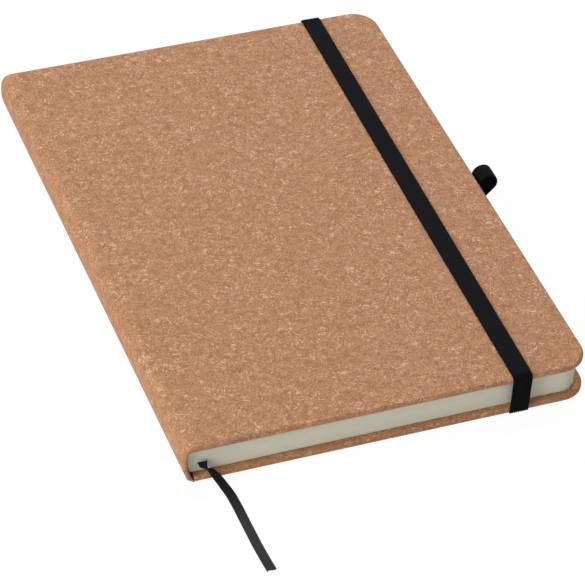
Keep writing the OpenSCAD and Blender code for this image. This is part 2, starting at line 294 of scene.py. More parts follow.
def rounded(path: Array, step: float, reach: float) -> Array:
    """Rounds the corners of a path: walked in equal steps, each point becomes the mean of its neighbours.

    Args:
        path: Points of shape (n, dimensions).
        step: Distance between the new points.
        reach: Half of the length that each mean is taken over.

    Returns:
        The rounded path, with its two ends where they were.
    """
    total = length_along(path)[-1]
    even = resample(path, np.linspace(0, total, int(total / step) + 1))
    half = max(1, round(reach / step))
    padded = np.concatenate([2 * even[:1] - even[half:0:-1], even, 2 * even[-1:] - even[-2 : -half - 2 : -1]])
    kernel = np.hanning(2 * half + 3)[1:-1]
    kernel /= kernel.sum()
    return np.stack([np.convolve(padded[:, k], kernel, mode="valid") for k in range(path.shape[1])], axis=-1)


def arc(centre: Sequence[float], radius: float, start: float, end: float, steps: int) -> Array:
    """Gives points on a circle: centre + radius (cos a, sin a), with a from start to end in degrees."""
    angles = np.radians(np.linspace(start, end, steps))
    return np.array(centre) + radius * np.stack([np.cos(angles), np.sin(angles)], axis=-1)


def unit(vectors: Array) -> Array:
    """Scales each vector to length 1."""
    return vectors / np.linalg.norm(vectors, axis=1, keepdims=True)


def smooth_step(value: Array, low: float, high: float) -> Array:
    """Goes from 0 at low to 1 at high along 3 t squared minus 2 t cubed."""
    t = np.clip((value - low) / (high - low), 0, 1)
    return t * t * (3 - 2 * t)


# Shader tools


class Graph:
    """A thin wrapper that adds nodes to a node tree and links them."""

    def __init__(self, tree: bpy.types.NodeTree) -> None:
        """Empties the tree and keeps it.

        Args:
            tree: Node tree of a material, a world or a group.
        """
        tree.nodes.clear()
        self.tree = tree

    def add(self, kind: str, settings: dict[str, object] | None = None, **inputs: object) -> bpy.types.Node:
        """Adds a node, sets its properties, and sets or links its inputs.

        Args:
            kind: Blender's name of the node type.
            settings: Properties of the node.
            **inputs: Values or output sockets. An underscore stands for a space, and in0, in1 count sockets.

        Returns:
            The new node.
        """
        node = self.tree.nodes.new(kind)
        for key, value in (settings or {}).items():
            setattr(node, key, value)
        for key, value in inputs.items():
            counted = key.startswith("in") and key[2:].isdigit()
            socket = node.inputs[int(key[2:]) if counted else key.replace("_", " ")]
            if isinstance(value, bpy.types.NodeSocket):
                self.tree.links.new(value, socket)
            else:
                socket.default_value = value
        return node

    def math(self, operation: str, first: Shade, second: Shade = 0.0, clamp: bool = False) -> Socket:
        """Adds a Math node and returns its output."""
        settings = {"operation": operation, "use_clamp": clamp}
        return self.add("ShaderNodeMath", settings, in0=first, in1=second).outputs[0]

    def scaled_sum(self, value: Shade, factor: float, rest: Shade) -> Socket:
        """Adds a Math node that works out value times factor plus rest."""
        settings = {"operation": "MULTIPLY_ADD"}
        return self.add("ShaderNodeMath", settings, in0=value, in1=factor, in2=rest).outputs[0]

    def vector(self, operation: str, first: Socket, *others: object) -> Socket:
        """Adds a Vector Math node and returns its vector."""
        further = {f"in{number}": value for number, value in enumerate(others, start=1)}
        return self.add("ShaderNodeVectorMath", {"operation": operation}, in0=first, **further).outputs[0]

    def mix(self, share: Shade, first: Shade, second: Shade) -> Socket:
        """Adds a colour Mix node and returns its colour."""
        node = self.add("ShaderNodeMix", {"data_type": "RGBA"}, in0=share, in6=first, in7=second)
        return node.outputs[2]

    def mix_values(self, share: Shade, first: Shade, second: Shade) -> Socket:
        """Adds a Mix node for two plain values and returns its result."""
        return self.add("ShaderNodeMix", {"data_type": "FLOAT"}, in0=share, in2=first, in3=second).outputs[0]

    def map(self, value: Shade, low: float, high: float, to_low: float = 0.0, to_high: float = 1.0) -> Socket:
        """Adds a smooth Map Range node and returns its result."""
        settings = {"interpolation_type": "SMOOTHSTEP"}
        node = self.add("ShaderNodeMapRange", settings, in0=value, in1=low, in2=high, in3=to_low, in4=to_high)
        return node.outputs[0]

    def noise(self, vector: Socket, scale: Shade, detail: float = 2.0, roughness: float = 0.5) -> Socket:
        """Adds a Noise texture and returns its value."""
        node = self.add("ShaderNodeTexNoise", Vector=vector, Scale=scale, Detail=detail, Roughness=roughness)
        return node.outputs[0]

    def group(self, group: bpy.types.NodeTree, output: str, **inputs: object) -> Socket:
        """Places a node group and returns one of its outputs."""
        node = self.add("ShaderNodeGroup", {"node_tree": group}, **inputs)
        return node.outputs[output]

    def place(self) -> Socket:
        """Gives the place on the piece, in its own coordinates."""
        return self.add("ShaderNodeTexCoord").outputs["Object"]

    def stored(self, attribute: str, output: str) -> Socket:
        """Gives a value that the mesh stores for each vertex."""
        return self.add("ShaderNodeAttribute", {"attribute_name": attribute}).outputs[output]

    def looked_at(self) -> Socket:
        """Gives 1 for a ray that is seen straight, in a reflection or through glass, and 0 for the others."""
        rays = self.add("ShaderNodeLightPath").outputs
        mirrored = self.math("MAXIMUM", rays["Is Camera Ray"], rays["Is Glossy Ray"])
        return self.math("MAXIMUM", mirrored, rays["Is Transmission Ray"])


def new_group(
    name: str, inputs: Iterable[tuple[str, str, float | None]], output: str,
) -> tuple[Graph, bpy.types.NodeOutputs, Socket]:
    """Makes an empty shader node group with named inputs and one named output.

    Args:
        name: Name of the group.
        inputs: Name, socket type and default value of each input. A default of None is left as it is.
        output: Name of the output, a float.

    Returns:
        The group's graph, the sockets of its inputs and the socket that its output is linked to.
    """
    tree = bpy.data.node_groups.new(name, "ShaderNodeTree")
    for label, kind, value in inputs:
        socket = tree.interface.new_socket(label, in_out="INPUT", socket_type=kind)
        if value is not None:
            socket.default_value = value
    tree.interface.new_socket(output, in_out="OUTPUT", socket_type="NodeSocketFloat")
    graph = Graph(tree)
    given, result = graph.add("NodeGroupInput"), graph.add("NodeGroupOutput")
    return graph, given.outputs, result.inputs[output]


def fleck_group() -> bpy.types.NodeTree:
    """Builds the group that scatters short fibres that all lie along one heading.

    The place is turned by the heading and stretched, so that round cells become long ones. A cell shows a
    fibre if its own random number is under the coverage, and the fibre fades out with the distance from the
    cell's middle. A second random number makes it 0.4 to 1 strong.

    Returns:
        The node group, with a Mask output.
    """
    fields = [
        ("Vector", "NodeSocketVector", None),
        ("Heading", "NodeSocketFloat", 0.0),
        ("Length", "NodeSocketFloat", 0.002),
        ("Width", "NodeSocketFloat", 0.0004),
        ("Coverage", "NodeSocketFloat", 0.3),
    ]
    graph, given, mask = new_group("fibre_flecks", fields, "Mask")
    turn = {"rotation_type": "Z_AXIS"}
    turned = graph.add("ShaderNodeVectorRotate", turn, Vector=given["Vector"], Angle=given["Heading"])
    along = graph.math("DIVIDE", 1.0, given["Length"])
    across = graph.math("DIVIDE", 1.0, given["Width"])
    stretch = graph.add("ShaderNodeCombineXYZ", X=along, Y=across, Z=across)
    place = graph.vector("MULTIPLY", turned.outputs[0], stretch.outputs[0])
    cells = graph.add("ShaderNodeTexVoronoi", Vector=place, Scale=1.0)
    chance = graph.add("ShaderNodeSeparateColor", Color=cells.outputs["Color"])
    shown = graph.math("LESS_THAN", chance.outputs["Red"], given["Coverage"])
    body = graph.map(cells.outputs["Distance"], 0.2, 0.55, 1.0, 0.0)
    strong = graph.scaled_sum(chance.outputs["Green"], 0.6, 0.4)
    graph.tree.links.new(graph.math("MULTIPLY", graph.math("MULTIPLY", body, shown), strong), mask)
    return graph.tree


def grain_group() -> bpy.types.NodeTree:
    """Builds the group for fine surface grain: two noises of different size, added by a share.

    Returns:
        The node group, with a Value output around one half.
    """
    fields = [
        ("Vector", "NodeSocketVector", None),
        ("Size", "NodeSocketFloat", 0.0005),
        ("Coarse share", "NodeSocketFloat", 0.4),
    ]
    graph, given, result = new_group("fine_grain", fields, "Value")
    scale = graph.math("DIVIDE", 1.0, given["Size"])
    fine = graph.noise(given["Vector"], scale, detail=3.0, roughness=0.6)
    coarse = graph.noise(given["Vector"], graph.math("MULTIPLY", scale, 0.21))
    graph.tree.links.new(graph.mix_values(given["Coarse share"], fine, coarse), result)
    return graph.tree


def cord_group() -> bpy.types.NodeTree:
    """Builds the group for woven cloth: a ripple of warp cords across it, crossed by weft picks along it.

    The ripple is the absolute sine of the distance, so that round cords meet in narrow grooves.

    Returns:
        The node group, with a Height output from 0 to 1.
    """
    fields = [
        ("Weave", "NodeSocketVector", None),
        ("Cord", "NodeSocketFloat", 0.0009),
        ("Pick", "NodeSocketFloat", 0.0004),
        ("Pick share", "NodeSocketFloat", 0.35),
    ]
    graph, given, height = new_group("woven_cords", fields, "Height")
    parts = graph.add("ShaderNodeSeparateXYZ", Vector=given["Weave"])
    ripples = []
    for axis, pitch in (("X", "Cord"), ("Y", "Pick")):
        turns = graph.math("MULTIPLY", graph.math("DIVIDE", parts.outputs[axis], given[pitch]), math.pi)
        ripples.append(graph.math("ABSOLUTE", graph.math("SINE", turns)))
    graph.tree.links.new(graph.mix_values(given["Pick share"], *ripples), height)
    return graph.tree


@dataclass
class Effects:
    """The shader node groups that the finishes share."""

    flecks: bpy.types.NodeTree = field(default_factory=fleck_group)
    grain: bpy.types.NodeTree = field(default_factory=grain_group)
    cords: bpy.types.NodeTree = field(default_factory=cord_group)


def new_material(name: str) -> tuple[bpy.types.Material, Graph]:
    """Makes an empty node material.

    Args:
        name: Name of the material.

    Returns:
        The material and the graph of its node tree.
    """
    material = bpy.data.materials.new(name)
    material.use_nodes = True
    return material, Graph(material.node_tree)


@dataclass(frozen=True)
class Relief:
    """Depth of a surface's height field in millimetres, strength of its bump, and how much it shines."""

    depth: float
    strength: float
    specular: float

    def close(self, graph: Graph, colour: Socket, roughness: Socket, height: Socket) -> None:
        """Adds the Bump, the Principled BSDF and the output that end a material.

        Args:
            graph: Graph of the material.
            colour: Base colour.
            roughness: Roughness.
            height: Height field from 0 to 1.
        """
        bump = graph.add("ShaderNodeBump", Strength=self.strength, Distance=self.depth * MM, Height=height)
        shader = graph.add(
            "ShaderNodeBsdfPrincipled", Base_Color=colour, Roughness=roughness, Normal=bump.outputs[0],
            Specular_IOR_Level=self.specular,
        )
        graph.add("ShaderNodeOutputMaterial", Surface=shader.outputs[0])


# Finishes


@dataclass(frozen=True)
class Fibres:
    """A layer of fibres that lie along one heading. The shift sets its cells apart from other layers'."""

    heading: float
    length: float
    width: float
    coverage: float
    shift: float = 0.0

    def mask(self, graph: Graph, effects: Effects, place: Socket) -> Socket:
        """Lays the fibres.

        Args:
            graph: Graph of the material.
            effects: Shared node groups.
            place: Place on the piece.

        Returns:
            A mask that is 1 in the middle of a strong fibre and 0 beside the fibres.
        """
        moved = graph.vector("ADD", place, np.array([1.0, 2.0, 0.5]) * self.shift * MM)
        return graph.group(
            effects.flecks, "Mask", Vector=moved, Heading=self.heading, Length=self.length * MM,
            Width=self.width * MM, Coverage=self.coverage,
        )


@dataclass(frozen=True)
class Grain:
    """Fine grain of a surface: size of its fine noise, and share of the coarse one."""

    size: float
    coarse_share: float

    def value(self, graph: Graph, effects: Effects, place: Socket) -> Socket:
        """Lays the grain.

        Args:
            graph: Graph of the material.
            effects: Shared node groups.
            place: Place on the piece.

        Returns:
            A value around one half.
        """
        share = self.coarse_share
        return graph.group(effects.grain, "Value", Vector=place, Size=self.size * MM, Coarse_share=share)


@dataclass(frozen=True)
class Cords:
    """Pitch of a woven strip's warp cords and of its weft picks, and the picks' share of the height."""

    cord: float
    pick: float
    pick_share: float

    def height(self, graph: Graph, effects: Effects, weave: Socket) -> Socket:
        """Lays the weave.

        Args:
            graph: Graph of the material.
            effects: Shared node groups.
            weave: Distances across and along the strip.

        Returns:
            The height, from 0 in a groove to 1 on a thread.
        """
        return graph.group(
            effects.cords, "Height", Weave=weave, Cord=self.cord * MM, Pick=self.pick * MM,
            Pick_share=self.pick_share,
        )


@dataclass(frozen=True)
class BondedLeather:
    """Speckled bonded leather: felted leather fibres with pale and dark flecks on a matt tan ground."""

    ground: Colour = srgb(181, 129, 89)
    pale: Colour = srgb(243, 204, 170)
    dark: Colour = srgb(118, 78, 47)
    warm: Colour = srgb(184, 131, 93)
    bright_share: float = 0.9
    faint_share: float = 0.33
    dark_share: float = 0.7
    curl_reach: float = 1.2
    curl_scale: float = 520.0
    felt: Grain = Grain(0.6, 0.4)
    cloud_scale: float = 38.0
    patch_scale: float = 130.0
    blotch_scale: float = 300.0
    roughness: tuple[float, float] = (0.66, 0.54)
    relief: Relief = Relief(0.12, 0.35, 0.22)
    bright_layers: tuple[Fibres, ...] = (
        Fibres(0.2, 2.9, 0.48, 0.13, 0.0),
        Fibres(1.1, 2.2, 0.44, 0.12, 31.0),
        Fibres(2.0, 2.4, 0.42, 0.12, 57.0),
        Fibres(2.7, 1.8, 0.52, 0.13, 83.0),
    )
    faint_layers: tuple[Fibres, ...] = (
        Fibres(0.6, 1.4, 0.40, 0.26, 11.0),
        Fibres(1.6, 1.3, 0.38, 0.26, 37.0),
        Fibres(2.4, 1.5, 0.36, 0.24, 71.0),
    )
    dark_layers: tuple[Fibres, ...] = (
        Fibres(0.7, 1.0, 0.42, 0.20, 19.0),
        Fibres(2.3, 0.9, 0.46, 0.18, 43.0),
    )

    def build(self, effects: Effects) -> bpy.types.Material:
        """Builds the material.

        Args:
            effects: Shared node groups.

        Returns:
            The material.
        """
        material, graph = new_material("bonded_leather")
        place = graph.place()
        drift = graph.add("ShaderNodeTexNoise", Vector=place, Scale=self.curl_scale, Detail=2.0)
        curled = graph.vector("MULTIPLY_ADD", drift.outputs["Color"], (self.curl_reach * MM,) * 3, place)
        bright, faint, dark = (
            self._strongest(graph, effects, curled, layers)
            for layers in (self.bright_layers, self.faint_layers, self.dark_layers)
        )
        felt = self.felt.value(graph, effects, curled)
        cloud = graph.noise(place, self.cloud_scale, detail=4.0, roughness=0.55)
        patch = graph.noise(place, self.patch_scale, detail=3.0, roughness=0.6)
        blotch = graph.noise(curled, self.blotch_scale, detail=3.0, roughness=0.65)
        ground = graph.mix(graph.map(cloud, 0.35, 0.65), self.ground, self.warm)
        shaded = graph.mix(graph.map(felt, 0.38, 0.6, 0.5, 0.0), ground, self.dark)
        speckled = graph.mix(graph.math("MULTIPLY", dark, self.dark_share), shaded, self.dark)
        clouded = graph.mix(graph.map(blotch, 0.58, 0.74, 0.0, 0.42), speckled, self.pale)
        softly = graph.mix(graph.math("MULTIPLY", faint, self.faint_share), clouded, self.pale)
        thick = graph.math("MULTIPLY", bright, graph.map(patch, 0.4, 0.62, 0.15, 1.0))
        colour = graph.mix(graph.math("MULTIPLY", thick, self.bright_share), softly, self.pale)
        height = graph.math("ADD", graph.math("MULTIPLY", felt, 0.6), graph.math("MULTIPLY", bright, 0.4))
        self.relief.close(graph, colour, graph.map(felt, 0.3, 0.7, *self.roughness), height)
        return material

    def _strongest(self, graph: Graph, effects: Effects, place: Socket, layers: Sequence[Fibres]) -> Socket:
        """Lays several layers of fibres over each other and keeps the strongest at each place."""
        masks = [layer.mask(graph, effects, place) for layer in layers]
        return reduce(lambda one, other: graph.math("MAXIMUM", one, other), masks)


@dataclass(frozen=True)
class TrimmedPages:
    """Edge of the trimmed pages: cream paper with a slight change of shade from leaf to leaf, and painted
    shade in the grooves between leaves.
    """

    light: Colour = srgb(233, 229, 211)
    shade: Colour = srgb(208, 203, 184)
    leaf_tone_and_painted_shade_share: float = 0.45
    streak_share: float = 0.5
    streaks: tuple[float, float, float] = (40.0, 40.0, 9000.0)
    grain: Grain = Grain(0.3, 0.3)
    roughness: tuple[float, float] = (0.85, 0.7)
    relief: Relief = Relief(0.04, 0.3, 0.25)

    def build(self, effects: Effects) -> bpy.types.Material:
        """Builds the material.

        Args:
            effects: Shared node groups.

        Returns:
            The material.
        """
        material, graph = new_material("trimmed_pages")
        place = graph.place()
        grain = self.grain.value(graph, effects, place)
        streak = graph.noise(graph.vector("MULTIPLY", place, self.streaks), 1.0)
        faint = graph.math("MULTIPLY", streak, self.streak_share)
        # The stored value holds each leaf's own tone and painted shade in the grooves between leaves; both
        # darken the colour.
        share = graph.scaled_sum(graph.stored("tone", "Fac"), self.leaf_tone_and_painted_shade_share, faint)
        colour = graph.mix(share, self.light, self.shade)
        self.relief.close(graph, colour, graph.map(grain, 0.3, 0.7, *self.roughness), grain)
        return material


@dataclass(frozen=True)
class Endpaper:
    """Smooth uncoated paper of the endpapers, with a faint cloudy formation."""

    light: Colour = srgb(238, 234, 218)
    shade: Colour = srgb(224, 218, 200)
    fibres: Fibres = Fibres(0.5, 2.5, 0.2, 0.1)
    fibre_share: float = 0.35
    cloud_scale: float = 260.0
    grain: Grain = Grain(0.35, 0.35)
    roughness: tuple[float, float] = (0.82, 0.7)
    relief: Relief = Relief(0.03, 0.3, 0.25)

    def build(self, effects: Effects) -> bpy.types.Material:
        """Builds the material.

        Args:
            effects: Shared node groups.

        Returns:
            The material.
        """
        material, graph = new_material("endpaper")
        place = graph.place()
        grain = self.grain.value(graph, effects, place)
        cloud = graph.noise(place, self.cloud_scale, detail=3.0, roughness=0.6)
        fibres = graph.math("MULTIPLY", self.fibres.mask(graph, effects, place), self.fibre_share)
        share = graph.math("ADD", graph.map(cloud, 0.35, 0.7, 0.0, 0.55), fibres, clamp=True)
        colour = graph.mix(share, self.light, self.shade)
        self.relief.close(graph, colour, graph.map(grain, 0.3, 0.7, *self.roughness), grain)
        return material


@dataclass(frozen=True)
class Greyboard:
    """Raw grey board and card: pulp with dark and pale fibres."""

    ground: Colour = srgb(158, 152, 142)
    pale: Colour = srgb(196, 190, 178)
    dark: Colour = srgb(112, 107, 101)
    pale_fibres: Fibres = Fibres(0.4, 1.6, 0.3, 0.35)
    dark_fibres: Fibres = Fibres(1.9, 1.2, 0.3, 0.25)
    fibre_share: float = 0.6
    grain: Grain = Grain(0.4, 0.5)
    roughness: tuple[float, float] = (0.92, 0.8)
    relief: Relief = Relief(0.08, 0.5, 0.2)

    def build(self, effects: Effects) -> bpy.types.Material:
        """Builds the material.

        Args:
            effects: Shared node groups.

        Returns:
            The material.
        """
        material, graph = new_material("greyboard_pulp")
        place = graph.place()
        grain = self.grain.value(graph, effects, place)
        colour = self.ground
        for fibres, shade in ((self.pale_fibres, self.pale), (self.dark_fibres, self.dark)):
            share = graph.math("MULTIPLY", fibres.mask(graph, effects, place), self.fibre_share)
            colour = graph.mix(share, colour, shade)
        self.relief.close(graph, colour, graph.map(grain, 0.3, 0.7, *self.roughness), grain)
        return material


@dataclass(frozen=True)
class WovenElastic:
    """Woven black elastic: warp cords side by side, with fine picks across them, and painted shade in the
    grooves between the cords.
    """

    thread: Colour = srgb(9, 8, 11)
    groove: Colour = srgb(4, 4, 5)
    fuzz: Colour = srgb(20, 19, 23)
    cords: Cords = Cords(0.44, 0.35, 0.4)
    grain: Grain = Grain(0.12, 0.3)
    roughness: tuple[float, float] = (0.85, 0.62)
    relief: Relief = Relief(0.12, 0.6, 0.05)

    def build(self, effects: Effects) -> bpy.types.Material:
        """Builds the material.

        Args:
            effects: Shared node groups.

        Returns:
            The material.
        """
        material, graph = new_material("woven_elastic")
        weave = graph.stored("weave", "Vector")
        cords = self.cords.height(graph, effects, weave)
        fuzz = self.grain.value(graph, effects, weave)
        # Painted shade: the grooves between the cords get the darker groove colour.
        weave_with_painted_shade = graph.mix(graph.map(cords, 0.15, 0.75), self.groove, self.thread)
        colour = graph.mix(graph.map(fuzz, 0.55, 0.75, 0.0, 0.35), weave_with_painted_shade, self.fuzz)
        height = graph.math("ADD", graph.math("MULTIPLY", cords, 0.8), graph.math("MULTIPLY", fuzz, 0.2))
        self.relief.close(graph, colour, graph.map(cords, 0.0, 1.0, *self.roughness), height)
        return material


@dataclass(frozen=True)
class SatinRibbon:
    """Black satin ribbon: very fine warp threads with a soft gloss, partly painted as lighter streaks, and
    denser selvedges.
    """

    thread: Colour = srgb(15, 14, 17)
    shine: Colour = srgb(24, 23, 27)
    selvedge: Colour = srgb(9, 9, 11)
    cords: Cords = Cords(0.16, 0.22, 0.3)
    selvedge_w: float = 0.45
    selvedge_fade: float = 0.2
    streaks: tuple[float, float, float] = (6000.0, 260.0, 1.0)
    roughness: tuple[float, float] = (0.55, 0.42)
    relief: Relief = Relief(0.04, 0.5, 0.14)

    def build(self, effects: Effects) -> bpy.types.Material:
        """Builds the material.

        Args:
            effects: Shared node groups.

        Returns:
            The material.
        """
        material, graph = new_material("satin_ribbon")
        weave = graph.stored("weave", "Vector")
        cords = self.cords.height(graph, effects, weave)
        across = graph.math("ABSOLUTE", graph.add("ShaderNodeSeparateXYZ", Vector=weave).outputs["X"])
        inner = BOOK.ribbon_w / 2 - self.selvedge_w
        edge = graph.map(across, inner * MM, (inner + self.selvedge_fade) * MM)
        # Painted sheen: lighter streaks along the warp stand in for the satin's gloss.
        streak = graph.noise(graph.vector("MULTIPLY", weave, self.streaks), 1.0)
        body = graph.mix(graph.map(streak, 0.4, 0.7, 0.0, 0.4), self.thread, self.shine)
        colour = graph.mix(edge, body, self.selvedge)
        self.relief.close(graph, colour, graph.map(cords, 0.0, 1.0, *self.roughness), cords)
        return material


@dataclass(frozen=True)
class StudioFloor:
    """Plain white surface: it bounces light as pale card does, and is seen near white with its shadow."""

    bounce: float = 0.8
    seen: float = 0.11
    lift: float = 0.92

    def build(self) -> bpy.types.Material:
        """Builds the material.

        Returns:
            The material.
        """
        material, graph = new_material("studio_floor")
        greys = [(grey, grey, grey, 1.0) for grey in (self.bounce, self.seen)]
        bounced, seen = (graph.add("ShaderNodeBsdfDiffuse", Color=grey).outputs[0] for grey in greys)
        glow = graph.add("ShaderNodeEmission", Color=WHITE, Strength=self.lift).outputs[0]
        both = graph.add("ShaderNodeAddShader", in0=seen, in1=glow).outputs[0]
        choice = graph.add("ShaderNodeMixShader", in0=graph.looked_at(), in1=bounced, in2=both)
        graph.add("ShaderNodeOutputMaterial", Surface=choice.outputs[0])
        return material


@dataclass
class Finishes:
    """All materials of the notebook, built once."""

    effects: Effects = field(default_factory=Effects)
    by_slot: dict[Slot, bpy.types.Material] = field(default_factory=dict)

    def __post_init__(self) -> None:
        """Builds one material for each slot of the record."""
        recipes = {
            Slot.LEATHER: BondedLeather(), Slot.GREYBOARD: Greyboard(), Slot.PAGES: TrimmedPages(),
            Slot.ENDPAPER: Endpaper(), Slot.ELASTIC: WovenElastic(), Slot.RIBBON: SatinRibbon(),
        }
        for slot, recipe in recipes.items():
            self.by_slot[slot] = recipe.build(self.effects)

    def dress(self, piece: bpy.types.Object, slot: Slot) -> None:
        """Gives a piece the finish of a slot as its only material.

        Args:
            piece: Mesh object.
            slot: The record's slot.
        """
        piece.data.materials.clear()
        piece.data.materials.append(self.by_slot[slot])


# Woven pieces


@dataclass(frozen=True)
class WovenSection:
    """Cross-section of a woven strip: flat, with round edges and cords side by side.

    The half thickness at a distance u from the middle is t / 2 (1 - |2 u / w| to the sixth) to the power
    1 / 6, and the grooves take away their depth times the sixth power of a cosine between the cords.
    """

    width: float
    thickness: float
    cords: int
    points: int = 97

    def across(self) -> Array:
        """Distances from the middle at the section's points: over the top and back under it."""
        turn = np.linspace(-np.pi / 2, np.pi / 2, self.points)
        top = self.width / 2 * np.sin(turn)
        return np.concatenate([top, top[-2:0:-1]])

    def height(self, thickness: Array, groove: Array) -> Array:
        """Gives the heights of the section's points for each ring.

        Args:
            thickness: Thickness at each ring, of shape (rings,).
            groove: Depth of the grooves at each ring, of shape (rings,).

        Returns:
            Signed distances from the middle plane, of shape (rings, points).
        """
        u = self.across()
        share = np.clip(np.abs(2 * u / self.width), 0, 1)
        rim = (1 - share**6) ** (1 / 6)
        side = np.where(np.arange(len(u)) < self.points, 1.0, -1.0)
        return side * (thickness[:, None] / 2 * rim - groove[:, None] * self.grooves() * rim)

    def grooves(self) -> Array:
        """Gives the share of the groove's depth at each point: 1 between two cords and 0 on them."""
        return np.abs(np.cos(np.pi * (self.across() / self.width + 0.5) * self.cords)) ** 6


def sweep(
    path: Array, sideways: Array, normals: Array, section: WovenSection, heights: Array,
) -> tuple[Array, Array]:
    """Carries a woven section along a path: each vertex is path + u sideways + h normal.

    Args:
        path: Ring centres of shape (rings, 3), in millimetres.
        sideways: Unit vectors across the strip, of shape (rings, 3) or (3,).
        normals: Unit vectors out of the strip, of shape (rings, 3).
        section: The strip's section.
        heights: Signed heights of shape (rings, points).

    Returns:
        The vertices, of shape (rings, points, 3) in millimetres, and the distances across and along the
        weave, of shape (rings, points, 2) in metres.
    """
    u = section.across()
    spread = np.broadcast_to(sideways, path.shape)
    vertices = path[:, None] + u[None, :, None] * spread[:, None] + heights[..., None] * normals[:, None]
    weave = np.stack(np.broadcast_arrays(u[None, :], length_along(path)[:, None]), axis=-1) * MM
    return vertices, weave


def directions(path: Array) -> Array:
    """Gives the unit vector along a path at each of its points."""
    return unit(np.gradient(path, axis=0))


def quarter_turned(way: Array) -> Array:
    """Turns each direction (a, b) of a plane to (b, -a)."""
    return np.stack([way[:, 1], -way[:, 0]], axis=-1)


def flat_normals(path: Array) -> Array:
    """Gives the unit normals of a path in a plane."""
    return quarter_turned(directions(path))


@dataclass
class ElasticBand:
    """The closure band: over the front cover, down past head and tail, and under into the back cover."""

    finishes: Finishes
    width: float = 7.2
    thickness: float = 0.8
    inset: float = 25.4
    lean: float = 1.8
    gap: float = 0.1
    slot_y: float = 90.0
    end: float = 14.0
    fold_r: float = 0.2
    cords: int = 9
    groove: float = 0.035
    drop_groove: float = 0.27
    foot_groove: float = 0.05
    drop_reach: float = 3.0
    foot_z: tuple[float, float] = (0.6, 6.0)
    pleat: float = 0.7
    step: float = 0.1
    round_reach: float = 0.25
    bend_steps: int = 9
    straight_every: int = 30
    drop_every: int = 5
    fold_points: int = 9
    edge_points: int = 13
    flat_z: float = 0.777
    flat_keep: float = 0.12

    def half_path(self) -> Array:
        """Gives the tail half of the centreline in Y and Z, from the glued end to the middle of the book."""
        t, outside = self.thickness, BOOK.half_h + self.gap
        straight = BOOK.half_h - BOOK.edge_r
        slot_at = -self.slot_y - t / 2
        bed_z = BOOK.board_top - t / 2
        inner = np.array([[slot_at - t / 2 + self.end, bed_z], [slot_at, bed_z], [slot_at, t / 2]])
        fold_centre = [-outside + self.fold_r, t + self.fold_r]
        fold = arc(fold_centre, self.fold_r + t / 2, 270, 180, self.fold_points)
        edge_centre = [-straight, BOOK.book_t - BOOK.edge_r]
        over = arc(edge_centre, BOOK.edge_r + self.gap + t / 2, 180, 90, self.edge_points)
        return np.concatenate([inner, fold, over, [[0.0, BOOK.book_t + self.gap + t / 2]]])

    def stations(self, fine: Array) -> Array:
        """Picks the rings of the band: all in and near a bend, and every few steps where it runs straight.

        Args:
            fine: The whole centreline in equal steps, of shape (n, 2).

        Returns:
            Whether each step gets a ring, of shape (n,).
        """
        bends = np.linalg.norm(np.gradient(np.gradient(fine, axis=0), axis=0), axis=1) > STRAIGHT_UNDER
        near_bend = np.convolve(bends.astype(float), np.ones(self.bend_steps), mode="same") > 0
        number = np.arange(len(fine))
        on_drop = (np.abs(fine[:, 0]) > BOOK.half_h - self.drop_reach) & (number % self.drop_every == 0)
        wanted = near_bend | on_drop | (number % self.straight_every == 0)
        wanted[[0, -1]] = True
        return wanted

    def build(self) -> bpy.types.Object:
        """Builds the band as one closed strip, with deeper grooves where it drops past head and tail.

        Returns:
            The band's object.
        """
        half = self.half_path()
        fine = rounded(np.concatenate([half, half[-2::-1] * [-1, 1]]), self.step, self.round_reach)
        wanted = self.stations(fine)
        path, normals = fine[wanted], -flat_normals(fine)[wanted]
        drop = smooth_step(np.abs(path[:, 0]), BOOK.half_h - self.drop_reach, BOOK.half_h)
        foot = drop * smooth_step(-path[:, 1], -self.foot_z[1], -self.foot_z[0])
        section = WovenSection(self.width, self.thickness, self.cords)
        groove = self.groove + self.drop_groove * drop + self.foot_groove * foot
        heights = section.height(np.full(len(path), self.thickness), groove)
        turn = math.asin(self.lean / BOOK.cover_h)
        along = np.array([math.sin(turn), math.cos(turn), 0.0])
        sideways = np.array([math.cos(turn), -math.sin(turn), 0.0])
        start = np.array([BOOK.cover_w - self.inset, 0.0, 0.0])
        centre = start + path[:, :1] * along + path[:, 1:] * [0.0, 0.0, 1.0]
        outward = normals[:, :1] * along + normals[:, 1:] * [0.0, 0.0, 1.0]
        vertices, weave = sweep(centre, sideways, outward, section, heights)
        vertices[..., 2] += self.pleat * foot[:, None] * section.grooves()[None]
        LOG.info("band path %.1f mm in %d rings", length_along(fine)[-1], len(path))
        band = make_piece("closure_band", BOOK.in_frame(vertices), weave)
        self.finishes.dress(band, Slot.ELASTIC)
        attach(band, Body.BACK.value)
        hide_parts("elastic_band")
        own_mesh(band)
        return band


